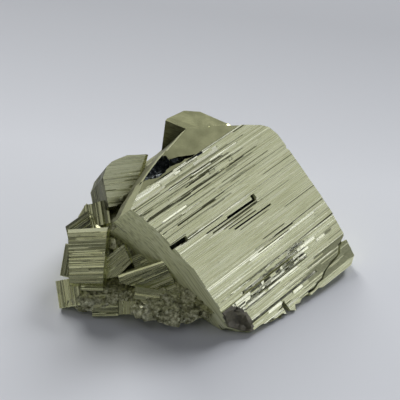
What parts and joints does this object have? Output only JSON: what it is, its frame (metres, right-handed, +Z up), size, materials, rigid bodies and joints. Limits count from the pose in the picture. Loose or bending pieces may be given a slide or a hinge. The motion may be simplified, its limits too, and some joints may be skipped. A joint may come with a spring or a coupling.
{
  "type": "pyrite specimen",
  "caption": "Mineral hand specimen: a large striated pyrite crystal with smaller intergrown crystals on granular pyrite, resting on a flat cut underside.",
  "frame": {"origin": "middle of the outline on the plane that the specimen rests on, at the height of its flat underside", "axes": "+Z up from the flat underside, +X to the right along the specimen's longest side, with the large striated face turned to the right and front, -Y to the front, where the large face's lower edge is"},
  "size_m": [0.0825, 0.069, 0.0357],
  "materials": {
    "pyrite": "natural metallic lustre: pale brassy yellow, finely striated crystal faces, duller granular base"
  },
  "bodies": {
    "root": {"pyrite_cluster": "pyrite"}
  },
  "joints": []
}
